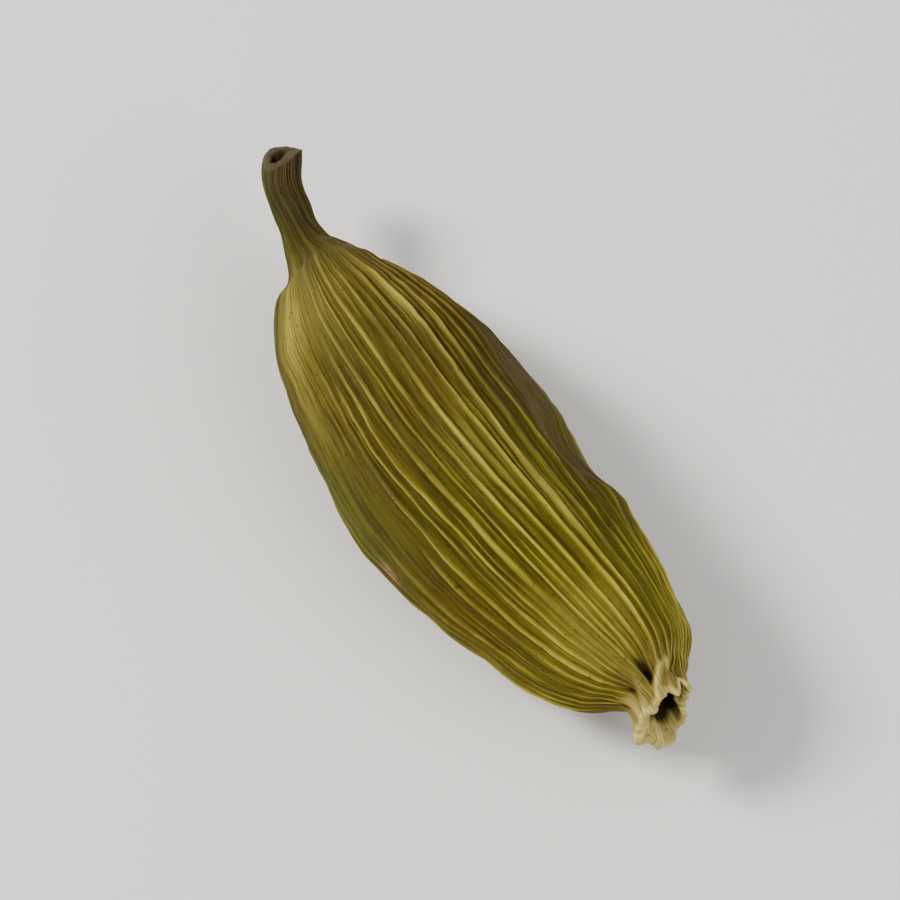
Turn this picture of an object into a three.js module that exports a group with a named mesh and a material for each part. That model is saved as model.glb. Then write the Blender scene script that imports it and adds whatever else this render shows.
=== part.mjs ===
// A dried green cardamom pod, lying on its flattest side.
// It is one closed solid: a husk of three lobes with long raised ribs, a short
// curved stalk at one end, and at the other the torn, hollow collar that is
// left of the flower.
//
// Millimetres, +Z up. X runs along the pod from its stalk to its collar. The
// origin is on the surface that the pod lies on, under the middle of its box.

import * as THREE from "three";

// Driving sizes. X is counted from the stalk's foot until the pod is centred.
const HUSK_LENGTH = 17.6; // from the stalk's foot to the collar's root
const HUSK_RADIUS = 3.8; // from the middle line to the top of a lobe, at the widest place
const PRESSED_FLAT = 0.22; // how much of the underside is pressed flat
const STALK_RADIUS = 0.54;
const STALK_REACH = 3.0; // along X, past the husk
const FOOT_Y = 0.5; // where the stalk leaves the husk
const STALK_SWING = 1.4; // how far the cut end stands to the +Y side of the foot
const STALK_RISE = 0.5; // and above it
const COLLAR_RADIUS = 1.1;
const COLLAR_LENGTH = 1.0; // at its middle
const COLLAR_WALL = 0.26;
const COLLAR_DEPTH = 0.95; // of its hollow, from the rim
const COLLAR_SLANT = 0.34; // how much further its rim reaches on the -Y side than at its middle
const COLLAR_TEAR = 0.24; // how far the torn rim stands out or falls short
const RIBS = 42;
const RIB_HEIGHT = 0.2; // of a crest over its grooves, at the middle of the husk
const RIB_UNEVEN = 0.15; // how far ribs differ from that height, as a share of it
const RIB_WANDER = THREE.MathUtils.degToRad(1.7); // how far a rib strays sideways along the pod
const MID_VALLEY = 0.15; // depth of the valleys between the lobes, as a share of the radius
const DEEP_DENT = 0.4; // a dent as deep as this has pulled the ribs nearly smooth
const SMOOTHED = 0.7; // by this share of their height

// The three valleys between the lobes, as angles about X from +Y towards +Z
const VALLEYS = [28, 140, 268].map(THREE.MathUtils.degToRad);

// One column of vertices runs along each crest and one along each groove.
const COLUMNS = 2 * RIBS;
const TURN = 2 * Math.PI;

// The middle of the husk stands this high, so that the bottom valley is pressed flat at z = 0.
const MID_HEIGHT = HUSK_RADIUS * (1 - MID_VALLEY) - PRESSED_FLAT;

// The pod is drawn through stations, from its cut stalk to the collar's rim. place
// is where the middle line runs. form holds the radius, the depth of the valleys as
// a share of it, and the share of the full rib height. rows is how many rings reach
// to the next station.
function station(x, y, z, radius, valley, rib, rows) {
  return {
    place: new THREE.Vector3(x, y, z + MID_HEIGHT),
    form: new THREE.Vector3(radius, valley, rib),
    rows,
  };
}

function onStalk(share, swung, thickness, valley, rib, rows) {
  const [x, y] = [-STALK_REACH * share, FOOT_Y + STALK_SWING * swung];
  return station(x, y, STALK_RISE * share, STALK_RADIUS * thickness, valley, rib, rows);
}

function onHusk(share, y, thickness, valley, rib, rows) {
  return station(HUSK_LENGTH * share, y, 0, HUSK_RADIUS * thickness, valley, rib, rows);
}

function onCollar(share, y, thickness, valley, rib, rows) {
  const x = HUSK_LENGTH + COLLAR_LENGTH * share;
  return station(x, y, 0, COLLAR_RADIUS * thickness, valley, rib, rows);
}

const STATIONS = [
  onStalk(1, 1, 1.1, 0.02, 0.2, 2),
  onStalk(0.72, 0.5, 1, 0.04, 0.25, 2),
  onStalk(0.42, 0.18, 1.1, 0.08, 0.3, 2),
  onStalk(0.13, 0.04, 1.6, 0.18, 0.3, 2),
  onHusk(0.02, FOOT_Y, 0.38, 0.26, 0.4, 2),
  onHusk(0.06, 0.33, 0.55, 0.26, 0.5, 2),
  onHusk(0.14, 0.13, 0.74, 0.22, 0.75, 3),
  onHusk(0.285, -0.06, 0.93, 0.17, 1, 4),
  onHusk(0.475, -0.36, 1, MID_VALLEY, 1, 4),
  onHusk(0.68, -0.42, 0.9, MID_VALLEY, 1, 4),
  onHusk(0.85, -0.26, 0.73, 0.16, 0.8, 3),
  onHusk(0.94, -0.14, 0.54, 0.18, 0.6, 2),
  onHusk(0.985, -0.18, 0.35, 0.14, 0.45, 2),
  onCollar(0.2, -0.26, 0.94, 0.06, 0.4, 2),
  onCollar(0.6, -0.32, 0.95, 0.05, 0.4, 2),
  onCollar(1, -0.38, 1, 0.05, 0.4, 0),
];

// Where the husk has shrunk inwards as it dried: the middle of each dent along X
// and around, in degrees, how far it spreads each way, and its depth
const DENTS = [
  { x: 10.2, angle: 20, long: 1.3, wide: 30, depth: 0.4 },
  { x: 8.6, angle: 52, long: 2.6, wide: 18, depth: 0.16 },
  { x: 12.0, angle: 350, long: 1.2, wide: 20, depth: 0.16 },
  { x: 6.4, angle: 160, long: 2.6, wide: 14, depth: 0.14 },
  { x: 4.4, angle: 310, long: 1.8, wide: 22, depth: 0.2 },
  { x: 13.4, angle: 228, long: 2.0, wide: 20, depth: 0.2 },
];

const middleLine = new THREE.CatmullRomCurve3(STATIONS.map((s) => s.place));
const girth = new THREE.CatmullRomCurve3(STATIONS.map((s) => s.form));

// How far a point at this angle is up the nearest lobe: 0 in a valley, 1 on top
function lobeAt(angle) {
  const after = VALLEYS.findIndex((from, i) => {
    const span = THREE.MathUtils.euclideanModulo(VALLEYS[(i + 1) % VALLEYS.length] - from, TURN);
    return THREE.MathUtils.euclideanModulo(angle - from, TURN) <= span;
  });
  const from = VALLEYS[after];
  const span = THREE.MathUtils.euclideanModulo(VALLEYS[(after + 1) % VALLEYS.length] - from, TURN);
  return Math.sin((Math.PI * THREE.MathUtils.euclideanModulo(angle - from, TURN)) / span) ** 1.3;
}

function dentAt(x, angle) {
  return DENTS.reduce((depth, dent) => {
    const turned = THREE.MathUtils.radToDeg(angle) - dent.angle;
    const around = THREE.MathUtils.euclideanModulo(turned + 180, 360) - 180;
    return depth + dent.depth * Math.exp(-(((x - dent.x) / dent.long) ** 2) - (around / dent.wide) ** 2);
  }, 0);
}

function columnAngle(column, x) {
  const even = (TURN * column) / COLUMNS;
  return even + RIB_WANDER * Math.sin(0.42 * x + 3 * even);
}

// How far the torn rim reaches past the end of the middle line, or falls short of it
function tearAt(angle) {
  const ragged = Math.sin(3 * angle + 1) + 0.7 * Math.sin(5 * angle + 2.4) + 0.5 * Math.sin(8 * angle);
  return (COLLAR_TEAR * ragged) / 2.2 - COLLAR_SLANT * Math.cos(angle);
}

// One ring of the solid at share t of the middle line. inset draws it in from the
// skin, push moves it along the middle line, and tear lets it follow the torn rim.
function ring(t, { inset = 0, push = 0, tear = 0, ribbed = true } = {}) {
  const middle = middleLine.getPoint(t);
  const along = middleLine.getTangent(t);
  const side = new THREE.Vector3(0, 0, 1).cross(along).normalize();
  const up = new THREE.Vector3().crossVectors(along, side);
  const { x: radius, y: valley, z: rib } = girth.getPoint(t);
  return Array.from({ length: COLUMNS }, (_, column) => {
    const angle = columnAngle(column, middle.x);
    const crest = (column % 2 === 0 ? 0.5 : -0.5) * (1 - RIB_UNEVEN * (1 + Math.sin(1.7 * column)));
    const dent = dentAt(middle.x, angle);
    const kept = ribbed ? 1 - SMOOTHED * Math.min(dent / DEEP_DENT, 1) : 0;
    const skin = radius * (1 - valley * (1 - lobeAt(angle))) - dent;
    const reach = skin + crest * RIB_HEIGHT * rib * kept - inset;
    const point = middle
      .clone()
      .addScaledVector(side, reach * Math.cos(angle))
      .addScaledVector(up, reach * Math.sin(angle))
      .addScaledVector(along, push + tear * tearAt(angle));
    point.z = Math.max(point.z, 0);
    return point;
  });
}

function centreOf(points) {
  return points.reduce((sum, p) => sum.add(p), new THREE.Vector3()).divideScalar(points.length);
}

// The outer skin, ring by ring from the stalk's cut end to the collar's rim
function skinRings() {
  const last = STATIONS.length - 1;
  const shares = STATIONS.flatMap((s, i) =>
    Array.from({ length: s.rows }, (_, row) => (i + row / s.rows) / last),
  );
  const tornFrom = (last - 1) / last;
  return [...shares, 1].map((t) => ring(t, { tear: Math.max(0, (t - tornFrom) * last) }));
}

// The cut end of the stalk is a shallow cup, and the collar a deep one.
function podSurface() {
  const skin = skinRings();
  const cutEnd = [
    ring(0, { inset: STALK_RADIUS * 0.7, push: 0.18, ribbed: false }),
    ring(0, { inset: STALK_RADIUS * 0.4, push: -0.02, ribbed: false }),
  ];
  const hollow = [
    ring(1, { inset: COLLAR_WALL, tear: 1, push: -0.03, ribbed: false }),
    ring(1, { inset: COLLAR_WALL * 1.1, tear: 0.4, push: -COLLAR_DEPTH * 0.4, ribbed: false }),
    ring(1, { inset: COLLAR_WALL * 1.5, push: -COLLAR_DEPTH * 0.85, ribbed: false }),
    ring(1, { inset: COLLAR_RADIUS * 0.6, push: -COLLAR_DEPTH, ribbed: false }),
  ];
  return [...cutEnd, ...skin, ...hollow];
}

// Joins the rings into one closed surface, with a point at the middle of each end
function closedGeometry(rings) {
  const points = [centreOf(rings[0]), ...rings.flat(), centreOf(rings.at(-1))];
  const index = [];
  const at = (row, column) => 1 + row * COLUMNS + (column % COLUMNS);
  for (let column = 0; column < COLUMNS; column += 1) {
    index.push(0, at(0, column + 1), at(0, column));
    for (let row = 0; row + 1 < rings.length; row += 1) {
      const [a, b] = [at(row, column), at(row, column + 1)];
      const [c, d] = [at(row + 1, column + 1), at(row + 1, column)];
      index.push(a, b, c, a, c, d);
    }
    index.push(points.length - 1, at(rings.length - 1, column), at(rings.length - 1, column + 1));
  }
  return new THREE.BufferGeometry().setFromPoints(points).setIndex(index);
}

const geometry = closedGeometry(podSurface());
geometry.computeBoundingBox();
const boxMiddle = geometry.boundingBox.getCenter(new THREE.Vector3());
geometry.translate(-boxMiddle.x, -boxMiddle.y, 0);
geometry.computeVertexNormals();

const husk = new THREE.MeshStandardMaterial({ color: 0x8f8a3c, roughness: 0.62, metalness: 0 });
const pod = new THREE.Mesh(geometry, husk);
pod.name = "pod";

const cardamom = new THREE.Group();
cardamom.add(pod);

export default cardamom;
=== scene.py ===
"""A dried green cardamom pod: its ribbed husk with the stalk and the torn collar, all of one tissue.

Shapes are worked out in millimetres, with X from the stalk to the collar and +Z up.
The meshes get them in metres.
"""

import math
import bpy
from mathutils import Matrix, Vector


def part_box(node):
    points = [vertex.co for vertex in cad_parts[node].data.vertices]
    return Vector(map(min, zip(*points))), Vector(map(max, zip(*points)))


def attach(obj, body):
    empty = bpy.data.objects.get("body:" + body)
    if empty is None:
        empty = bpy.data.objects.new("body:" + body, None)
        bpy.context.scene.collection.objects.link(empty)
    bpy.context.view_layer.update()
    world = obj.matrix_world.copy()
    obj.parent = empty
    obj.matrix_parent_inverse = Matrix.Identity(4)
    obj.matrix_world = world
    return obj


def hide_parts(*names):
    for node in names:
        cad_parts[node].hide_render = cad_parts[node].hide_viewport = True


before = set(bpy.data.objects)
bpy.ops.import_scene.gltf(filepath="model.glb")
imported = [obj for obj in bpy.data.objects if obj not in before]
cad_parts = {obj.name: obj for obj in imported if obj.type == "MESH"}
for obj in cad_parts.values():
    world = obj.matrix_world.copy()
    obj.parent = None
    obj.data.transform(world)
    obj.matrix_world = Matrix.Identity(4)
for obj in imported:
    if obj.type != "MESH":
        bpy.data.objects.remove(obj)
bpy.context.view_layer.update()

from types import SimpleNamespace

import bpy
import numpy as np
from mathutils import Vector, noise

MM = 0.001
TURN = 2 * math.pi
UP = np.array([0.0, 0.0, 1.0])

# The husk's driving sizes, in millimetres. X is counted from the stalk's foot.
HUSK_LENGTH = 17.6  # from the stalk's foot to the collar's root
HUSK_RADIUS = 3.8  # to the top of a lobe, at the widest place
PRESSED_FLAT = 0.22  # how much of the underside is pressed flat
STALK_RADIUS = 0.54
STALK_REACH = 3.0  # along X, past the husk
FOOT_Y = 0.5  # where the stalk leaves the husk
STALK_SWING = 1.4  # how far its end stands to the +Y side of its foot
STALK_RISE = 0.5  # and above it
COLLAR_RADIUS = 1.1
COLLAR_LENGTH = 1.0
RIM_X = HUSK_LENGTH + COLLAR_LENGTH
MID_VALLEY = 0.15  # depth of the valleys between the lobes, as a share of the radius
MID_HEIGHT = HUSK_RADIUS * (1 - MID_VALLEY) - PRESSED_FLAT
FIRST_STATION = 0.4  # how far along X the stalk's first station is from the end of the solid's box
GROOVES_LIFTED = 0.035  # how far the grooves stay above the surface that the pod lies on

RIBS = 42
RIB_HEIGHT = 0.17
RIB_BASE = 0.4  # the share of that height which lies below the plain skin
RIB_WANDER = math.radians(1.7)  # how far all ribs stray sideways together,
WANDER_ALONG = 0.42  # how quickly they do so along the pod
WANDER_AROUND = 3  # and round it
RIB_CROWDING = 0.26  # how far ribs stray towards each other, as a share of the space between two
RIB_WOBBLE = 0.05  # and how far each one wobbles

# The sheet that is rolled up into the husk: faces across each rib, and the step along the pod.
# Its long edges meet on the side that the pod lies on, this many ribs round from +Y.
FACES_PER_RIB = 12
COLUMNS = RIBS * FACES_PER_RIB
ROW_STEP = 0.13
SEAM_RIBS = -10
# At these places along X the rows are closer than that step or, below 1, further apart, by these factors
ROW_PLACES = (-3.2, -1.0, 1.0, 15.0, 16.6, 18.6)
ROW_DENSITY = (1.3, 1.2, 0.8, 0.8, 1.5, 1.8)
LINE_SAMPLES = 4001  # at so many places the middle line is measured to space the rows


def on_stalk(share, swung, thickness, valley, rib):
    """One station of the stalk: its place, radius, depth of the valleys and share of the rib height."""
    place = (-STALK_REACH * share, FOOT_Y + STALK_SWING * swung, MID_HEIGHT + STALK_RISE * share)
    return (*place, STALK_RADIUS * thickness, valley, rib)


def on_husk(share, y, thickness, valley, rib):
    return (HUSK_LENGTH * share, y, MID_HEIGHT, HUSK_RADIUS * thickness, valley, rib)


def on_collar(share, y, thickness, valley, rib):
    return (HUSK_LENGTH + COLLAR_LENGTH * share, y, MID_HEIGHT, COLLAR_RADIUS * thickness, valley, rib)


STATIONS = np.array([
    on_stalk(1, 1, 1.1, 0.02, 0.2),
    on_stalk(0.72, 0.5, 1, 0.04, 0.25),
    on_stalk(0.42, 0.18, 1.1, 0.08, 0.3),
    on_stalk(0.13, 0.04, 1.6, 0.18, 0.3),
    on_husk(0.02, FOOT_Y, 0.38, 0.26, 0.4),
    on_husk(0.06, 0.33, 0.55, 0.26, 0.5),
    on_husk(0.14, 0.13, 0.74, 0.22, 0.75),
    on_husk(0.285, -0.06, 0.93, 0.17, 1),
    on_husk(0.475, -0.36, 1, MID_VALLEY, 1),
    on_husk(0.68, -0.42, 0.9, MID_VALLEY, 1),
    on_husk(0.85, -0.26, 0.73, 0.16, 0.8),
    on_husk(0.94, -0.14, 0.54, 0.18, 0.6),
    on_husk(0.985, -0.18, 0.35, 0.14, 0.4),
    on_collar(0.2, -0.26, 0.94, 0.06, 0.2),
    on_collar(0.6, -0.32, 0.95, 0.05, 0.12),
    on_collar(1, -0.38, 1, 0.05, 0.1),
])

# The valleys between the lobes, in degrees about X from +Y towards +Z
VALLEYS = (28, 140, 268)

# Where the husk has shrunk inwards: the middle of each dent along X and around, in degrees,
# how far it spreads each way, and its depth
DENTS = (
    dict(x=10.2, angle=20, long=1.3, wide=30, amount=0.4),
    dict(x=8.6, angle=52, long=2.6, wide=18, amount=0.16),
    dict(x=12.0, angle=350, long=1.2, wide=20, amount=0.16),
    dict(x=6.4, angle=160, long=2.6, wide=14, amount=0.14),
    dict(x=4.4, angle=310, long=1.8, wide=22, amount=0.2),
    dict(x=13.4, angle=228, long=2.0, wide=20, amount=0.2),
    dict(x=9.9, angle=24, long=0.8, wide=16, amount=0.14),
)
# and where it swells out again
SWELLINGS = (dict(x=12.2, angle=18, long=1.0, wide=20, amount=0.22),)
# Sharp creases in the skin, placed in the same way
CREASES = (
    dict(x=17.3, angle=105, long=0.52, wide=8, amount=0.5),
    dict(x=18.1, angle=57, long=0.4, wide=8, amount=0.32),
    dict(x=17.5, angle=148, long=0.3, wide=7, amount=0.2),
    dict(x=17.4, angle=232, long=0.4, wide=10, amount=0.24),
    dict(x=17.45, angle=330, long=0.35, wide=12, amount=0.22),
    dict(x=10.6, angle=139, long=3.6, wide=2.6, amount=0.1),
    dict(x=11.0, angle=40, long=1.5, wide=3.2, amount=0.1),
    dict(x=0.5, angle=170, long=0.7, wide=14, amount=0.16),
)
# Ribs that stand out, and parts where the ribs fade
STRONG_RIBS = (
    dict(x=9.6, angle=128, long=5.0, wide=9, amount=0.5),
    dict(x=12.6, angle=96, long=4.0, wide=26, amount=0.3),
    dict(x=12.2, angle=78, long=1.4, wide=4, amount=0.9),
    dict(x=3.2, angle=77, long=2.6, wide=5, amount=0.8),
)
FAINT_RIBS = (
    dict(x=5.5, angle=178, long=7.0, wide=28, amount=0.75),
    dict(x=6.8, angle=22, long=4.2, wide=26, amount=0.9),
    dict(x=9.2, angle=43, long=2.2, wide=13, amount=0.5),
    dict(x=12.0, angle=54, long=1.5, wide=12, amount=0.5),
    dict(x=0.8, angle=100, long=1.4, wide=60, amount=0.45),
)
# How the colour changes over the husk: browned, with painted shade among the browned spots; still green;
# bleached, with a painted highlight among the bleached spots
# Some of these spots are painted shade, and the rest is real browning
BROWNING_AND_SHADE_SPOTS = (
    dict(x=9.4, angle=206, long=2.0, wide=18, amount=0.9),
    dict(x=17.1, angle=224, long=0.9, wide=34, amount=0.8),
    dict(x=3.2, angle=47, long=2.4, wide=12, amount=0.5),
    dict(x=14.0, angle=310, long=2.4, wide=24, amount=0.6),
    dict(x=5.2, angle=262, long=2.0, wide=20, amount=0.5),
    dict(x=-1.2, angle=30, long=1.8, wide=50, amount=0.2),
    dict(x=7.4, angle=16, long=3.6, wide=24, amount=0.4),
    dict(x=9.4, angle=36, long=2.0, wide=17, amount=0.5),
    dict(x=12.6, angle=170, long=2.4, wide=20, amount=0.75),
    dict(x=11.2, angle=55, long=1.3, wide=10, amount=0.6),
    dict(x=6.6, angle=96, long=1.6, wide=16, amount=0.3),
    dict(x=-2.4, angle=55, long=0.7, wide=45, amount=0.6),
)
GREENED = (
    dict(x=-1.4, angle=160, long=1.3, wide=46, amount=0.7),
    dict(x=7.8, angle=182, long=2.4, wide=16, amount=0.8),
    dict(x=12.4, angle=62, long=3.6, wide=18, amount=0.4),
    dict(x=13.8, angle=48, long=2.0, wide=20, amount=0.8),
    dict(x=9.0, angle=300, long=4.0, wide=30, amount=0.6),
)
BLEACH_AND_HIGHLIGHT_SPOTS = (
    # The first two spots, on the left lobe, are a painted highlight; the rest is bleached tissue
    dict(x=1.5, angle=157, long=1.7, wide=16, amount=1.4),
    dict(x=4.2, angle=166, long=2.0, wide=11, amount=0.35),
    dict(x=3.2, angle=77, long=2.4, wide=4, amount=0.6),
    dict(x=16.0, angle=120, long=1.9, wide=36, amount=0.7),
    dict(x=16.4, angle=30, long=1.0, wide=24, amount=0.35),
    dict(x=9.6, angle=98, long=1.8, wide=14, amount=0.3),
    dict(x=12.2, angle=78, long=1.4, wide=4, amount=0.9),
    dict(x=2.0, angle=120, long=1.6, wide=24, amount=0.4),
)
SCARS = (dict(x=9.6, angle=188, long=0.34, wide=5, amount=1),)
COLOUR_SPOTS = dict(browning_and_shade=BROWNING_AND_SHADE_SPOTS, greened=GREENED, bleach_and_highlight=BLEACH_AND_HIGHLIGHT_SPOTS, scar=SCARS)


def spline(points, t):
    """Points at shares t of the smooth curve through all of points (a centripetal Catmull-Rom curve)."""
    before, after = 2 * points[0] - points[1], 2 * points[-1] - points[-2]
    ends = np.vstack([before, points, after])
    place = np.clip(t, 0, 1) * (len(points) - 1)
    i = np.minimum(place.astype(int), len(points) - 2)
    w = (place - i)[:, None]
    p0, p1, p2, p3 = ends[i], ends[i + 1], ends[i + 2], ends[i + 3]
    spans = ((p0, p1), (p1, p2), (p2, p3))
    d0, d1, d2 = (np.sqrt(np.linalg.norm(end - start, axis=1))[:, None] for start, end in spans)
    m1 = d1 * ((p1 - p0) / d0 - (p2 - p0) / (d0 + d1) + (p2 - p1) / d1)
    m2 = d1 * ((p2 - p1) / d1 - (p3 - p1) / (d1 + d2) + (p3 - p2) / d2)
    return p1 + w * (m1 + w * (3 * (p2 - p1) - 2 * m1 - m2 + w * (2 * (p1 - p2) + m1 + m2)))


def middle_line(t):
    return spline(STATIONS[:, :3], t)


def girth(t):
    """Radius, depth of the valleys and share of the rib height."""
    return spline(STATIONS[:, 3:], t).T


def frames(t):
    """Unit vectors along the middle line, to its side and up from it."""
    step = 1e-4
    along = middle_line(np.minimum(t + step, 1)) - middle_line(np.maximum(t - step, 0))
    along /= np.linalg.norm(along, axis=1)[:, None]
    side = np.cross(UP, along)
    side /= np.linalg.norm(side, axis=1)[:, None]
    return along, side, np.cross(along, side)


def turned(angle, degrees):
    """How many degrees each angle is round from the given one, from -180 to 180."""
    return (np.degrees(angle) - degrees + 180) % 360 - 180


def patches(spots, x, angle):
    """The sum of soft-edged spots on the husk, each at its place along X and around."""
    amount = np.zeros_like(x)
    for spot in spots:
        around = turned(angle, spot["angle"]) / spot["wide"]
        amount += spot["amount"] * np.exp(-((x - spot["x"]) / spot["long"]) ** 2 - around ** 2)
    return amount


def bumps_round(bumps, measure, angle):
    """The sum of one measure of all these bumps, each with soft edges at its angle round the pod."""
    return sum(bump[measure] * np.exp(-(turned(angle, bump["angle"]) / bump["wide"]) ** 2) for bump in bumps)


def lobe_at(angle):
    """0 in a valley between two lobes, 1 on top of a lobe."""
    lobe = np.zeros_like(angle)
    for i, start in enumerate(VALLEYS):
        span = (VALLEYS[(i + 1) % len(VALLEYS)] - start) % 360
        past = (np.degrees(angle) - start) % 360
        inside = past <= span
        lobe[inside] = np.sin(math.pi * past[inside] / span) ** 1.3
    return lobe


def noise_at(*coordinates):
    """Smooth noise from -1 to 1 at each of the points whose coordinates are given as arrays.

    The larger the factor on a coordinate, the finer the noise. A plain number as the last one
    picks a pattern of its own.
    """
    stacked = np.stack(np.broadcast_arrays(*coordinates), axis=-1)
    return np.array([noise.noise(Vector(p)) for p in stacked.reshape(-1, 3)]).reshape(stacked.shape[:-1])


def noise_round(angle, fineness, layer):
    """Smooth noise that closes round the pod."""
    return noise_at(np.cos(angle) * fineness, np.sin(angle) * fineness, layer)


def ease(value, low, high):
    """0 below low, 1 above high, and a smooth rise between them."""
    share = np.clip((value - low) / (high - low), 0, 1)
    return share * share * (3 - 2 * share)


def skin_rows():
    """Shares of the middle line for the rows of the skin, from the cut end to the collar's rim."""
    fine = np.linspace(0, 1, LINE_SAMPLES)
    places = middle_line(fine)
    closeness = np.interp(places[1:, 0], ROW_PLACES, ROW_DENSITY)
    steps = np.linalg.norm(np.diff(places, axis=0), axis=1) * closeness
    run = np.concatenate([[0], np.cumsum(steps)])
    count = round(run[-1] / ROW_STEP)
    return np.interp(np.linspace(0, run[-1], count + 1), run, fine)


# The rows of the stalk's cut end, from the middle of its hole to its rim:
# how far each closes in on the middle line, and how far it is pushed into the stalk
CUT_END = (
    (1.0, 0.75), (0.9, 0.75), (0.8, 0.7), (0.74, 0.52), (0.71, 0.3), (0.68, 0.1),
    (0.63, 0.0), (0.54, -0.04), (0.42, -0.06), (0.3, -0.07), (0.18, -0.05), (0.08, -0.01),
)
CUT_FACES = 120  # the angle round the stalk towards which the cut slants into it
CUT_SLANT = 0.95  # how steeply it does so
SLANT_FROM = 0.3  # it begins this far past the middle, on the far side, as a share of the way to the rim
SLANT_SOFTNESS = 0.06  # how soft the change is there between flat and slant
CUT_STANDS_OUT = 0.48  # how far the flat part stands out past the stalk's first station
CUT_CHIPPED = 0.24  # how much has broken away on the +Y side
CUT_ROUGHNESS = 0.08  # how far the rim of the cut is uneven
CUT_REACH = 2.4  # how far along the stalk the skin follows the cut
HOLE_SINKS = 0.36  # how much further in the rows lie towards the middle of the hole
HOLE_ASIDE = (-0.2, 0.12)  # how far it lies to the side of the middle line and above it
OUT_OF_ROUND = 0.5  # how far the hole and the hollow's floor are from round, as a share of their radius
TIP_SHIFT = (-0.29, -0.18, 0.1)  # how far the stalk's end is moved along X, Y and Z,
TIP_MOVES_FROM = 1.0  # and how far from its foot the stalk begins to follow
KNOB = 0.11  # how much thicker the stalk is, as a share,
KNOB_X = -2.3  # at this place
KNOB_RUN = 0.8  # and so far to each side of it

# The rows of the collar's inner wall, from its rim to the middle of the hollow's floor:
# how far each is below the rim, how thick the wall is, and how far it closes in on the middle line
HOLLOW = (
    (-0.03, 0.07, 0), (-0.035, 0.15, 0), (0.0, 0.22, 0), (0.06, 0.26, 0), (0.15, 0.27, 0),
    (0.25, 0.28, 0), (0.38, 0.29, 0), (0.52, 0.3, 0), (0.66, 0.32, 0.02), (0.8, 0.34, 0.08),
    (0.88, 0.38, 0.2), (0.93, 0.4, 0.42), (0.95, 0.4, 0.66), (0.94, 0.4, 0.86), (0.92, 0.4, 1),
)
# Round these angles the wall is thicker by this share or, below zero, thinner
WALL_UNEVEN = (dict(angle=220, wide=50, share=0.4), dict(angle=62, wide=40, share=-0.45))

# Where the collar has torn down from its rim: how wide and how deep each tear is
TEARS = (
    dict(angle=54, wide=17, depth=0.74),
    dict(angle=146, wide=10, depth=0.22),
    dict(angle=178, wide=9, depth=0.14),
    dict(angle=228, wide=8, depth=0.14),
    dict(angle=276, wide=10, depth=0.12),
    dict(angle=326, wide=12, depth=0.2),
)
TEAR_CURVE = 1.2  # at 1 the tears would be plain notches with straight sides
# What is left between them leans outwards or, below zero, inwards, and reaches past the
# collar's length or, below zero, falls short of it
FLAPS = (
    dict(angle=28, wide=18, lean=-0.12, reach=-0.5),
    dict(angle=84, wide=22, lean=-0.12, reach=-0.58),
    dict(angle=120, wide=24, lean=-0.28, reach=-0.5),
    dict(angle=160, wide=20, lean=0.06, reach=-0.2),
    dict(angle=200, wide=26, lean=0.26, reach=-0.12),
    dict(angle=250, wide=26, lean=0.1, reach=0.24),
    dict(angle=300, wide=26, lean=-0.46, reach=-0.04),
    dict(angle=350, wide=27, lean=-0.54, reach=-0.46),
)
# The rim is ragged besides: how much, how finely, and which pattern of noise it follows
RAGGED = ((0.07, 3.5, 1.0), (0.035, 9, 2.0))
# The collar's tissue is gathered in folds: the angle of each at the middle of the collar,
# how wide and high it is, and how far it turns round in each millimetre
FOLDS = (
    dict(angle=38, wide=11, height=0.08, turns=8),
    dict(angle=96, wide=10, height=0.24, turns=30),
    dict(angle=136, wide=10, height=0.12, turns=14),
    dict(angle=162, wide=9, height=0.16, turns=-6),
    dict(angle=196, wide=11, height=0.14, turns=10),
    dict(angle=240, wide=12, height=0.18, turns=-8),
    dict(angle=290, wide=10, height=0.16, turns=12),
    dict(angle=342, wide=10, height=0.08, turns=-10),
)
BETWEEN_FOLDS = 0.07  # how far the tissue is drawn in between them
FOLDS_RISE = (HUSK_LENGTH - 0.8, HUSK_LENGTH + 0.3)  # they rise from nothing over this stretch of X,
LEAN_RISES = (HUSK_LENGTH - 0.1, RIM_X)  # the flaps lean over this one,
TORN_RISES = (16.5, RIM_X)  # and over this one the skin follows the torn rim
# The tissue is crumpled besides: how much, how finely round the collar, and how finely along it
CRUMPLED = ((0.1, 2.4, 2.0), (0.03, 6, 5))


def torn_rim(angle):
    """How far the collar's torn rim reaches past its middle length, or falls short of it."""
    height = sum(amount * noise_round(angle, fineness, layer) for amount, fineness, layer in RAGGED)
    for tear in TEARS:
        share = np.abs(turned(angle, tear["angle"])) / tear["wide"]
        height -= tear["depth"] * np.maximum(0, 1 - share) ** TEAR_CURVE
    return height + bumps_round(FLAPS, "reach", angle)


def collar_folds(x, angle):
    """How high the folds in the collar's tissue are at each point."""
    from_middle = x - HUSK_LENGTH - COLLAR_LENGTH / 2
    height = np.zeros_like(x)
    for fold in FOLDS:
        around = turned(angle, fold["angle"] + fold["turns"] * from_middle) / fold["wide"]
        height += fold["height"] * np.exp(-around ** 2)
    return height


def collar_crumple(x, angle, across, over):
    """How far the collar's wall stands out from a plain tube: leaning flaps, folds and crumpling."""
    up_collar = ease(x, *LEAN_RISES)
    gathered = ease(x, *FOLDS_RISE) * (collar_folds(x, angle) - BETWEEN_FOLDS)
    crumple = np.zeros_like(x)
    for amount, round_it, along_it in CRUMPLED:
        crumple += amount * noise_at(across * round_it, over * round_it, x * along_it)
    return gathered + up_collar * (bumps_round(FLAPS, "lean", angle) * up_collar + crumple)


# Towards the stalk, two husk ribs run together in one broad rib, and three in one on the stalk.
RIBS_PART = 1.0  # a broad rib parts at about this place along X,
PARTING_STRAYS = 1.6  # up to this much sooner or later,
PARTING_RUN = 1.2  # and over this long a way to each side
STALK_TO_HUSK = (-1.1, 0.6)  # over this stretch the stalk's ribs give way to the husk's

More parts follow.
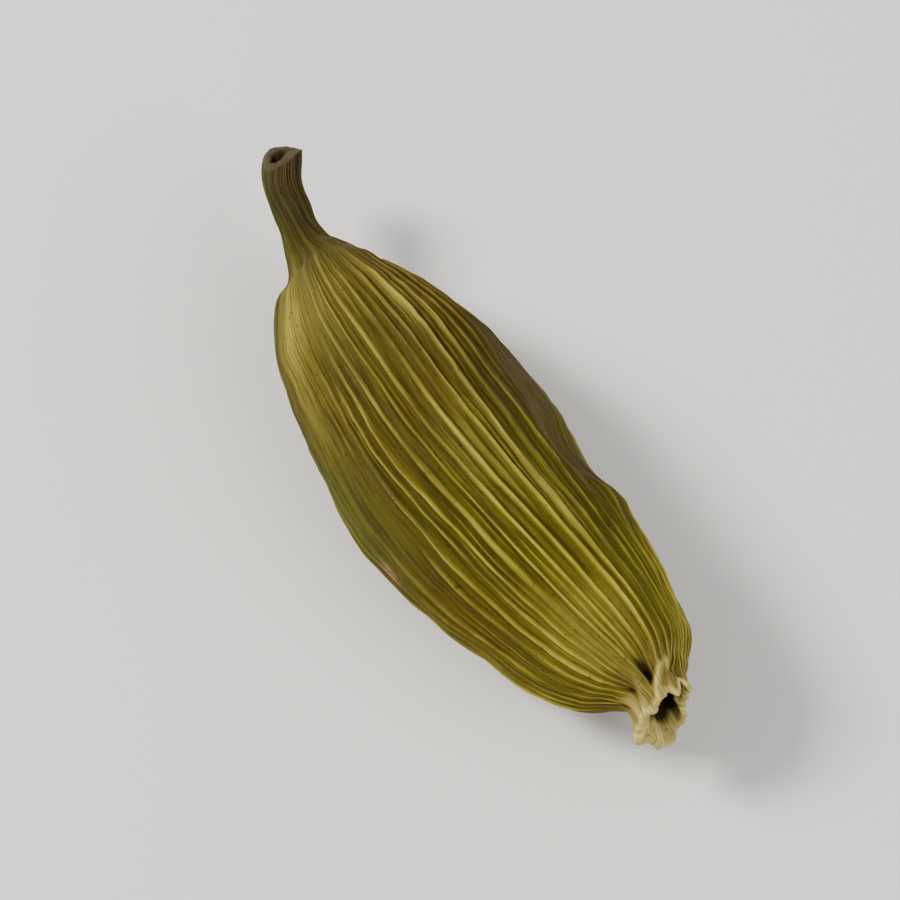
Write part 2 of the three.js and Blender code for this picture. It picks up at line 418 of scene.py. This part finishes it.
# How strong each rib is along its run
RIB_STRENGTH = 0.9
STRENGTH_UNEVEN = 0.6  # how far ribs are stronger or weaker than that
FADED = 0.7  # the share of its strength that a rib loses where it fades
KNOBBLY = 0.22  # how far its strength comes and goes within a millimetre
DENT_SMOOTHS = 0.55  # the share that a deep dent takes from the ribs in it
DEEP_DENT = 0.4  # a dent as deep as this or deeper
FAINTEST = 0.9  # the most that a faint part takes from them


def rib_crests(phase, x):
    """0 in the grooves and 1 on the ribs, which are fewer and broader towards the stalk."""
    fine = (0.5 + 0.5 * np.cos(TURN * phase)) ** 4
    broad = (0.5 + 0.5 * np.cos(TURN * phase / 2)) ** 3
    coarse = (0.5 + 0.5 * np.cos(TURN * phase / 3)) ** 1.4
    number = np.rint(phase) % RIBS
    parts_at = RIBS_PART + PARTING_STRAYS * noise_at(number * 5.3, 0.5, 8.0)
    parted = ease(x, parts_at - PARTING_RUN, parts_at + PARTING_RUN)
    husk_share = ease(x, *STALK_TO_HUSK)
    husk_ribs = parted * fine + (1 - parted) * np.maximum(0.8 * broad, 0.4 * fine)
    return husk_share * husk_ribs + (1 - husk_share) * 0.6 * coarse


def rib_strength(phase, x, angle):
    """How strong each rib is along its run: uneven, and faint where the husk is smooth."""
    number = np.rint(phase) % RIBS
    strength = RIB_STRENGTH + STRENGTH_UNEVEN * noise_at(number * 7.31, x * 0.22, 3.0)
    strength *= 1 - FADED * ease(noise_at(number * 3.77, x * 0.18, 11.0), 0.15, 0.45)
    strength *= 1 + KNOBBLY * noise_at(number * 1.9, x * 2.2, 50.0)
    strength *= 1 + patches(STRONG_RIBS, x, angle)
    strength *= 1 - DENT_SMOOTHS * np.minimum(patches(DENTS, x, angle) / DEEP_DENT, 1)
    return strength * (1 - np.minimum(patches(FAINT_RIBS, x, angle), FAINTEST))


def small_ribs(phase, x):
    """Low ribs that run in some of the grooves, and in more of them near the stalk."""
    between = np.floor(phase) % RIBS
    likely = noise_at(between * 2.9, x * 0.25, 30.0) + 0.3 * (1 - ease(x, 4, 8))
    return 0.5 * ease(likely, -0.3, 0.3) * (0.5 - 0.5 * np.cos(TURN * phase)) ** 6


def rib_angles(column, x):
    """The place of each column of the sheet, counted in ribs, and the angle at which it runs there."""
    phase = column / FACES_PER_RIB + SEAM_RIBS
    even = TURN * phase / RIBS
    crowding = RIB_CROWDING * noise_round(even, 6, x * 0.06)
    wobble = RIB_WOBBLE * noise_round(even, 14, x * 0.9)
    wander = RIB_WANDER * np.sin(WANDER_ALONG * x + WANDER_AROUND * even)
    return phase, even + wander + (crowding + wobble) * TURN / RIBS


# How the skin has shrunk, from broad swells to a fine crinkle: how much, how finely along
# the pod and across it, and which pattern of noise it follows
SWELLS = dict(amount=0.11, along=0.35, across=0.4, pattern=0)
PUCKERS = dict(amount=0.06, along=0.8, across=1.3, pattern=20)
CRINKLES = dict(amount=0.026, along=2.4, across=1.8, pattern=40)
STALK_KNOBS = dict(amount=0.07, along=1.5, across=1.6, pattern=60)
CRESTS_SMOOTH = 0.6  # how much less the crest of a rib is crinkled
BODY_RADII = (0.8, 2.4)  # where the radius grows through these, the stalk's skin turns into the husk's


def shrunk(kind, x, across, over):
    """How far the skin stands out or, below zero, lies in, because of one kind of shrinkage."""
    uneven = noise_at(x * kind["along"], across * kind["across"], over * kind["across"] + kind["pattern"])
    return kind["amount"] * uneven


def skin_reach(x, angle, radius, valley, crest, relief):
    """How far the outer skin is from the middle line."""
    across, over = radius * np.cos(angle), radius * np.sin(angle)
    body = ease(radius, *BODY_RADII)
    crinkled = shrunk(CRINKLES, x, across, over) * (1 - CRESTS_SMOOTH * np.clip(crest, 0, 1))
    husk_skin = shrunk(SWELLS, x, across, over) + shrunk(PUCKERS, x, across, over) + crinkled
    stalk_skin = shrunk(STALK_KNOBS, x, across, over)
    thickened = radius * (1 + KNOB * np.exp(-((x - KNOB_X) / KNOB_RUN) ** 2))
    skin = thickened * (1 - valley * (1 - lobe_at(angle))) - patches(DENTS, x, angle) + relief
    skin += body * husk_skin + (1 - body) * stalk_skin
    return skin + patches(SWELLINGS, x, angle) + collar_crumple(x, angle, across, over)


def cut_depth(angle, radius, closing):
    """How far into the stalk its cut lies: slanting on the near side, flat on the far side, and chipped."""
    across, over = radius * np.cos(angle), radius * np.sin(angle)
    near = np.cos(np.radians(turned(angle, CUT_FACES))) * (1 - closing) + SLANT_FROM
    slant = CUT_SLANT * 0.5 * (near + np.sqrt(near ** 2 + SLANT_SOFTNESS)) - CUT_STANDS_OUT
    chipped = CUT_CHIPPED * np.maximum(0, np.cos(angle)) ** 2 * (1 - closing)
    rough = CUT_ROUGHNESS * (1 - closing) * noise_at(across * 4, over * 4, 3.0)
    return slant + chipped + HOLE_SINKS * closing + rough


def sheet_rows():
    """The rows of the sheet, and which of them are the first and the last on the outside.

    A row has its share of the middle line, how far it lies inside the skin, how far it closes in on
    the middle line, and how far it is pushed along it.
    """
    skin_t = skin_rows()
    fine = np.linspace(0, 1, LINE_SAMPLES)
    below_rim = RIM_X - middle_line(fine)[:, 0]
    rows = [(0, 0, closing, push) for closing, push in CUT_END]
    rows += [(t, 0, 0, 0) for t in skin_t]
    for depth, wall, closing in HOLLOW:
        rows.append((np.interp(-depth, -below_rim, fine), wall, closing, max(-depth, 0)))
    return np.array(rows), len(CUT_END), len(CUT_END) + len(skin_t) - 1


def flat_sheet(rows):
    """The sheet before it is rolled up, and the row and the column that each of its points is in."""
    bpy.ops.object.select_all(action="DESELECT")
    bpy.ops.mesh.primitive_grid_add(x_subdivisions=rows - 1, y_subdivisions=COLUMNS, size=1)
    sheet = bpy.context.object
    flat = np.empty(len(sheet.data.vertices) * 3)
    sheet.data.vertices.foreach_get("co", flat)
    flat = flat.reshape(-1, 3)
    row = np.rint((flat[:, 0] + 0.5) * (rows - 1)).astype(int)
    column = np.rint((flat[:, 1] + 0.5) * COLUMNS).astype(int) % COLUMNS
    return sheet, row, column


def in_frame(points):
    """The points moved from the stations' own X and Y to where the solid is in the frame."""
    low, high = (np.array(corner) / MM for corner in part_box("pod"))
    points[:, 0] += low[0] - STATIONS[0, 0] + FIRST_STATION
    points[:, 1] += (low + high)[1] / 2 - (points[:, 1].min() + points[:, 1].max()) / 2
    return points


# What is dark and what is pale on the finished skin, with painted shade in hollows and creases among the
# dark: 0 is the colour of a groove and 1 that of a rib
PALEST = 1.2
HOLLOW_SHADE_DEPTHS = (0.4, 0.7)  # painted shade darkens the collar's hollow over this depth below its rim,
HOLE_SHADE_SHARES = (0.5, 0.72)  # and the stalk's hole over this share of the way to its middle
CREASE_SHADE_DEPTHS = (0.1, 0.34)  # painted shade in a crease darkens from the first of these depths to the second
CUT_PALE = 0.7  # the face of the cut is as pale as this
RIM_PALE_OUTSIDE = (RIM_X - 0.3, RIM_X - 0.06)  # the collar pales towards its rim over this stretch of X
RIM_PALE_INSIDE = (RIM_X - 0.66, RIM_X - 0.3)  # and on its inner wall over this one
FOLDS_PALE = 4  # how pale its folds are for each millimetre of their height,
FOLDS_PALE_FROM = (HUSK_LENGTH - 0.5, HUSK_LENGTH - 0.05)  # and over which stretch they turn so
RIBS_WEAKEN = (HUSK_LENGTH - 0.4, HUSK_LENGTH + 0.2)  # the pale lines of the ribs weaken over this stretch,
WEAKER = 0.5  # by this share
CREAM_EARLY = (dict(angle=92, wide=45, sooner=0.5),)  # on top of the pod the collar's colours begin sooner,
CREAM_RISES = (16.4, 17.3)  # more and more so over this stretch of X


def painted_hollow_shade(x, closing, in_cut, in_hollow):
    """How dark the painted shade is in the stalk's hole and in the collar's hollow."""
    return np.where(in_hollow, ease(RIM_X - x, *HOLLOW_SHADE_DEPTHS), 0) + in_cut * ease(closing, *HOLE_SHADE_SHARES)


def pale_rims(x, in_cut, in_hollow):
    """How pale the collar is towards its rim, and the stalk on the face of its cut."""
    collar = np.where(in_hollow, ease(x, *RIM_PALE_INSIDE), ease(x, *RIM_PALE_OUTSIDE))
    return np.where(in_cut, CUT_PALE, collar)


def rolled_husk():
    """The husk, stalk and collar as one closed skin, with what its material needs to know at each point."""
    rows, first_skin, last_skin = sheet_rows()
    husk, row, column = flat_sheet(len(rows))
    husk.name = "husk"
    t, wall, closing, push = rows.T[:, row]
    in_cut = row < first_skin
    in_hollow = row > last_skin
    outside = np.where(in_cut | in_hollow, 0.0, 1.0)

    middle = middle_line(t)
    along, side, up = frames(t)
    radius, valley, rib = girth(t)
    x = middle[:, 0]
    phase, angle = rib_angles(column, x)

    crest = rib_crests(phase, x)
    strength = rib_strength(phase, x, angle)
    raised = crest + small_ribs(phase, x)
    crease = patches(CREASES, x, angle) * outside
    relief = RIB_HEIGHT * rib * (strength * raised - RIB_BASE) * outside - crease
    skin = skin_reach(x, angle, radius, valley, crest, relief)

    wall = wall * (1 + bumps_round(WALL_UNEVEN, "share", angle))
    cut = 1 - ease(x, -STALK_REACH, -STALK_REACH + CUT_REACH)
    push = push + (1 - closing) * ease(x, *TORN_RISES) * torn_rim(angle)
    push += cut * cut_depth(angle, radius, closing)
    uneven = 1 + OUT_OF_ROUND * closing * noise_round(angle, 1.6, closing + 7)
    reach = (skin - wall) * (1 - closing) * uneven

    points = middle + side * (reach * np.cos(angle))[:, None] + up * (reach * np.sin(angle))[:, None]
    points += along * push[:, None]
    points += (cut * closing)[:, None] * (side * HOLE_ASIDE[0] + up * HOLE_ASIDE[1])
    points += ease(-x, TIP_MOVES_FROM, STALK_REACH)[:, None] * np.array(TIP_SHIFT)
    lifted = GROOVES_LIFTED * (1 - np.clip(crest, 0, 1)) * outside
    points[:, 2] = np.maximum(points[:, 2], lifted)
    husk.data.vertices.foreach_set("co", (in_frame(points) * MM).ravel())

    folds = FOLDS_PALE * ease(x, *FOLDS_PALE_FROM) * collar_folds(x, angle)
    lines = np.minimum(strength, 1) * raised * outside * (1 - WEAKER * ease(x, *RIBS_WEAKEN))
    store(husk, "crest", np.clip(np.maximum(lines, pale_rims(x, in_cut, in_hollow) + folds), 0, PALEST))
    store(husk, "along", x + ease(x, *CREAM_RISES) * bumps_round(CREAM_EARLY, "sooner", angle))
    # painted shade in the stalk's hole and in the collar's hollow
    store(husk, "hollow", painted_hollow_shade(x, closing, in_cut, in_hollow))
    # painted shade in the creases
    store(husk, "crease", ease(crease, *CREASE_SHADE_DEPTHS))
    for name, spots in COLOUR_SPOTS.items():
        store(husk, name, patches(spots, x, angle))
    sew(husk)
    return husk


def store(piece, name, values):
    """A value at each point, for the material to read."""
    layer = piece.data.attributes.new(name, "FLOAT", "POINT")
    layer.data.foreach_set("value", np.asarray(values, dtype=np.float32))


def sew(piece):
    """Joins the rolled sheet's long edges and draws its two ends together, faces outwards."""
    bpy.ops.object.select_all(action="DESELECT")
    piece.select_set(True)
    bpy.context.view_layer.objects.active = piece
    bpy.ops.object.mode_set(mode="EDIT")
    bpy.ops.mesh.select_all(action="SELECT")
    bpy.ops.mesh.remove_doubles(threshold=0.002 * MM)
    bpy.ops.mesh.normals_make_consistent(inside=False)
    bpy.ops.object.mode_set(mode="OBJECT")
    bpy.ops.object.shade_smooth()


def new_material(name):
    material = bpy.data.materials.new(name)
    material.use_nodes = True
    return material, material.node_tree


def node(tree, kind, inputs, **settings):
    """A new node. Each input is a value, or the output of another node that it is joined to."""
    made = tree.nodes.new(kind)
    for name, value in settings.items():
        setattr(made, name, value)
    for name, value in inputs.items():
        if isinstance(value, bpy.types.NodeSocket):
            tree.links.new(value, made.inputs[name])
        else:
            made.inputs[name].default_value = value
    return made


def attribute(tree, name):
    return node(tree, "ShaderNodeAttribute", {}, attribute_name=name).outputs["Fac"]


def span(tree, value, low, high, start=0.0, end=1.0):
    """start where value is low, end where it is high, and in between by share."""
    inputs = {"Value": value, "From Min": low, "From Max": high, "To Min": start, "To Max": end}
    return node(tree, "ShaderNodeMapRange", inputs).outputs["Result"]


def product(tree, first, second):
    return node(tree, "ShaderNodeMath", {0: first, 1: second}, operation="MULTIPLY").outputs[0]


def total(tree, first, second):
    return node(tree, "ShaderNodeMath", {0: first, 1: second}, operation="ADD").outputs[0]


def blend(tree, share, first, second, how="MIX"):
    inputs = {"Fac": share, "Color1": first, "Color2": second}
    return node(tree, "ShaderNodeMixRGB", inputs, blend_type=how).outputs["Color"]


def ramp(tree, share, stops):
    """A colour ramp with a stop at each given share."""
    made = node(tree, "ShaderNodeValToRGB", {"Fac": share})
    elements = made.color_ramp.elements
    while len(elements) < len(stops):
        elements.new(0.5)
    for element, (place, colour) in zip(elements, stops):
        element.position = place
        element.color = (*colour, 1)
    return made.outputs["Color"]


def stretched_noise(tree, vector, scale, detail=3.0, roughness=0.55):
    """Noise from 0 to 1 that is drawn out by its own scale along each axis."""
    mapping = node(tree, "ShaderNodeMapping", {"Vector": vector, "Scale": scale})
    inputs = {"Vector": mapping.outputs["Vector"], "Scale": 1.0, "Detail": detail, "Roughness": roughness}
    return node(tree, "ShaderNodeTexNoise", inputs).outputs["Fac"]


# The husk's colours from the stalk's end to the collar's rim, in its grooves and on its ribs
GROOVE_COLOURS = (
    (-3.0, (0.048, 0.034, 0.017)),
    (-2.0, (0.058, 0.047, 0.018)),
    (-0.6, (0.052, 0.041, 0.005)),
    (1.5, (0.074, 0.052, 0.001)),
    (5.5, (0.076, 0.057, 0.001)),
    (10.0, (0.078, 0.066, 0.001)),
    (14.5, (0.108, 0.088, 0.001)),
    (17.0, (0.145, 0.109, 0.003)),
    (17.7, (0.220, 0.155, 0.020)),
    (18.3, (0.330, 0.235, 0.050)),
)
CREST_COLOURS = (
    (-3.0, (0.150, 0.108, 0.060)),
    (-2.0, (0.125, 0.106, 0.042)),
    (-0.6, (0.132, 0.110, 0.020)),
    (1.5, (0.225, 0.175, 0.028)),
    (5.5, (0.280, 0.225, 0.034)),
    (10.0, (0.340, 0.294, 0.040)),
    (14.5, (0.430, 0.372, 0.044)),
    (17.0, (0.460, 0.388, 0.055)),
    (17.7, (0.620, 0.510, 0.150)),
    (18.3, (0.740, 0.630, 0.210)),
)
# brown for real browning, and for painted shade in some of the browned spots
BROWN = (0.084, 0.045, 0.001, 1)
GREEN = (0.080, 0.096, 0.004, 1)
# straw for bleached tissue, and for the painted highlight on the left lobe
STRAW = (0.420, 0.360, 0.060, 1)
SCAR_COLOUR = (0.330, 0.200, 0.110, 1)
# deep brown for the real specks, and for painted shade in creases and hollows
DEEP_BROWN_AND_SHADE = (0.014, 0.006, 0.002, 1)
# The streaks between the fibres and on them, as factors on the colour below
STREAK_DARK = (0.40, 0.36, 0.24, 1)
STREAK_LIGHT = (1.08, 1.08, 1.06, 1)
STREAKS_SHOW = 0.8
CREASE_SHADE = 0.8  # how far creases turn deep brown, as painted shade
HOLLOW_SHADE = 0.97  # and how far hollows do, as painted shade
BUMP_HEIGHT = 0.045 * MM
GLOW_DEPTH = 0.35 * MM  # how far light goes under the skin


def along_shares(colours):
    """Colours at places along X as colours at shares of the way from the first to the last."""
    first, last = colours[0][0], colours[-1][0]
    return [((place - first) / (last - first), colour) for place, colour in colours]


def husk_patterns(tree):
    """The patterns in the tissue: some run along the sheet with its fibres, and some lie in space."""
    place = node(tree, "ShaderNodeTexCoord", {})
    sheet = place.outputs["UV"]
    space = place.outputs["Object"]
    return SimpleNamespace(
        fibres=stretched_noise(tree, sheet, (16, 380, 1), detail=4),
        threads=stretched_noise(tree, sheet, (9, 170, 1), detail=3),
        long_fibres=stretched_noise(tree, sheet, (5, 120, 1), detail=2),
        puckers=stretched_noise(tree, space, (2400, 3600, 3600), detail=3),
        clouds=stretched_noise(tree, space, (240, 240, 240), detail=3),
        mottling=stretched_noise(tree, space, (1100, 1100, 1100), detail=4),
        grains=stretched_noise(tree, space, (5200, 5200, 5200), detail=2),
    )


def ribbed_colour(tree, patterns, crest):
    """The colours of grooves and ribs, which change along the pod."""
    strayed = total(tree, attribute(tree, "along"), span(tree, patterns.mottling, 0, 1, -0.5, 0.5))
    share = span(tree, strayed, GROOVE_COLOURS[0][0], GROOVE_COLOURS[-1][0])
    grooves = ramp(tree, share, along_shares(GROOVE_COLOURS))
    ribs = ramp(tree, share, along_shares(CREST_COLOURS))
    return blend(tree, span(tree, crest, 0.16, 0.85), grooves, ribs)


def clouded(tree, colour, patterns, crest):
    """The colour with its green and brown clouds, painted shade in some brown spots, bleached parts with a
    painted highlight among them, and scar.
    """
    green = total(tree, attribute(tree, "greened"), span(tree, patterns.clouds, 0.5, 0.75, 0, 0.6))
    green = product(tree, green, span(tree, crest, 0, 1, 0.7, 0.3))
    colour = blend(tree, green, colour, GREEN)
    # real browning, and painted shade from some of the spots
    brown = total(tree, attribute(tree, "browning_and_shade"), span(tree, patterns.clouds, 0.44, 0.25, 0, 0.5))
    brown = product(tree, brown, span(tree, patterns.mottling, 0.35, 0.65, 0.5, 1.0))
    colour = blend(tree, brown, colour, BROWN)
    bleach_and_highlight = product(tree, attribute(tree, "bleach_and_highlight"), span(tree, patterns.fibres, 0.3, 0.7, 0.3, 0.75))
    colour = blend(tree, bleach_and_highlight, colour, STRAW)
    scar = product(tree, attribute(tree, "scar"), span(tree, patterns.grains, 0.3, 0.6, 0.5, 1))
    return blend(tree, scar, colour, SCAR_COLOUR)


def darkened(tree, colour, patterns, strands):
    """The colour with streaks along its fibres, dark specks, and painted shade in creases and hollows."""
    streaks = blend(tree, span(tree, strands, 0.2, 0.7), STREAK_DARK, STREAK_LIGHT)
    colour = blend(tree, STREAKS_SHOW, colour, streaks, "MULTIPLY")
    specks = span(tree, patterns.grains, 0.66, 0.74, 0, 0.55)
    colour = blend(tree, specks, colour, DEEP_BROWN_AND_SHADE)
    colour = blend(tree, product(tree, attribute(tree, "crease"), CREASE_SHADE), colour, DEEP_BROWN_AND_SHADE)
    return blend(tree, product(tree, attribute(tree, "hollow"), HOLLOW_SHADE), colour, DEEP_BROWN_AND_SHADE)


def dried_husk():
    """Dry, fibrous husk: dark olive grooves and straw ribs, with a brown stalk and a cream collar."""
    material, tree = new_material("dried_husk")
    patterns = husk_patterns(tree)
    crest = product(tree, attribute(tree, "crest"), span(tree, patterns.long_fibres, 0.25, 0.75, 0.55, 1.25))
    fine_strands = span(tree, patterns.fibres, 0.34, 0.66, 0, 0.35)
    strands = total(tree, fine_strands, span(tree, patterns.threads, 0.36, 0.64, 0, 0.65))

    colour = ribbed_colour(tree, patterns, crest)
    colour = clouded(tree, colour, patterns, crest)
    colour = darkened(tree, colour, patterns, strands)

    height = total(tree, strands, span(tree, patterns.puckers, 0.3, 0.7, 0, 0.6))
    height = total(tree, height, product(tree, patterns.grains, 0.14))
    bump = node(tree, "ShaderNodeBump", {"Strength": 1.0, "Distance": BUMP_HEIGHT, "Height": height})

    shader = tree.nodes["Principled BSDF"]
    tree.links.new(colour, shader.inputs["Base Color"])
    tree.links.new(span(tree, crest, 0, 1, 0.68, 0.48), shader.inputs["Roughness"])
    tree.links.new(bump.outputs["Normal"], shader.inputs["Normal"])
    shader.inputs["Specular IOR Level"].default_value = 0.12
    shader.inputs["Subsurface Weight"].default_value = 0.12
    shader.inputs["Subsurface Radius"].default_value = (1.0, 0.7, 0.25)
    shader.inputs["Subsurface Scale"].default_value = GLOW_DEPTH
    return material


FLOOR_WIDTH = 1.2
FLOOR_COLOUR = (0.82, 0.81, 0.79, 1)


def floor():
    bpy.ops.object.select_all(action="DESELECT")
    bpy.ops.mesh.primitive_plane_add(size=FLOOR_WIDTH, location=(0, 0, 0))
    ground = bpy.context.object
    ground.name = "floor"
    material, tree = new_material("pale_floor")
    shader = tree.nodes["Principled BSDF"]
    shader.inputs["Base Color"].default_value = FLOOR_COLOUR
    shader.inputs["Roughness"].default_value = 0.7
    ground.data.materials.append(material)


VIEW_AZIMUTH = math.radians(52)
VIEW_ELEVATION = math.radians(65)
VIEW_WIDTH = 27 * MM  # what the camera sees at the pod's distance
CAMERA_DISTANCE = 0.14
SENSOR_WIDTH = 36
CLIP_START = 0.005


def camera():
    level = math.cos(VIEW_ELEVATION)
    back = Vector((
        math.sin(VIEW_AZIMUTH) * level,
        -math.cos(VIEW_AZIMUTH) * level,
        math.sin(VIEW_ELEVATION),
    ))
    low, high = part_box("pod")
    target = (low + high) / 2
    data = bpy.data.cameras.new("camera")
    data.sensor_width = SENSOR_WIDTH
    data.lens = SENSOR_WIDTH * CAMERA_DISTANCE / VIEW_WIDTH
    data.clip_start = CLIP_START
    view = bpy.data.objects.new("camera", data)
    view.location = target + back * CAMERA_DISTANCE
    view.rotation_euler = back.to_track_quat("Z", "Y").to_euler()
    bpy.context.scene.collection.objects.link(view)
    bpy.context.scene.camera = view


def soft_light(name, place, size, power, colour):
    """A square light that faces the pod."""
    data = bpy.data.lights.new(name, "AREA")
    data.size = size
    data.energy = power
    data.color = colour
    light = bpy.data.objects.new(name, data)
    light.location = place
    light.rotation_euler = Vector(place).to_track_quat("Z", "Y").to_euler()
    bpy.context.scene.collection.objects.link(light)


SKY_COLOUR = (0.93, 0.93, 0.92, 1)
SKY_STRENGTH = 0.4


def studio():
    soft_light("key", place=(-0.15, -0.12, 0.17), size=0.07, power=0.95, colour=(1.0, 0.97, 0.91))
    soft_light("fill", place=(0.16, 0.08, 0.16), size=0.2, power=0.42, colour=(1.0, 0.98, 0.96))
    world = bpy.data.worlds.new("studio")
    world.use_nodes = True
    sky = world.node_tree.nodes["Background"]
    sky.inputs["Color"].default_value = SKY_COLOUR
    sky.inputs["Strength"].default_value = SKY_STRENGTH
    bpy.context.scene.world = world


husk = rolled_husk()
husk.data.materials.append(dried_husk())
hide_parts("pod")
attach(husk, "root")
floor()
camera()
studio()
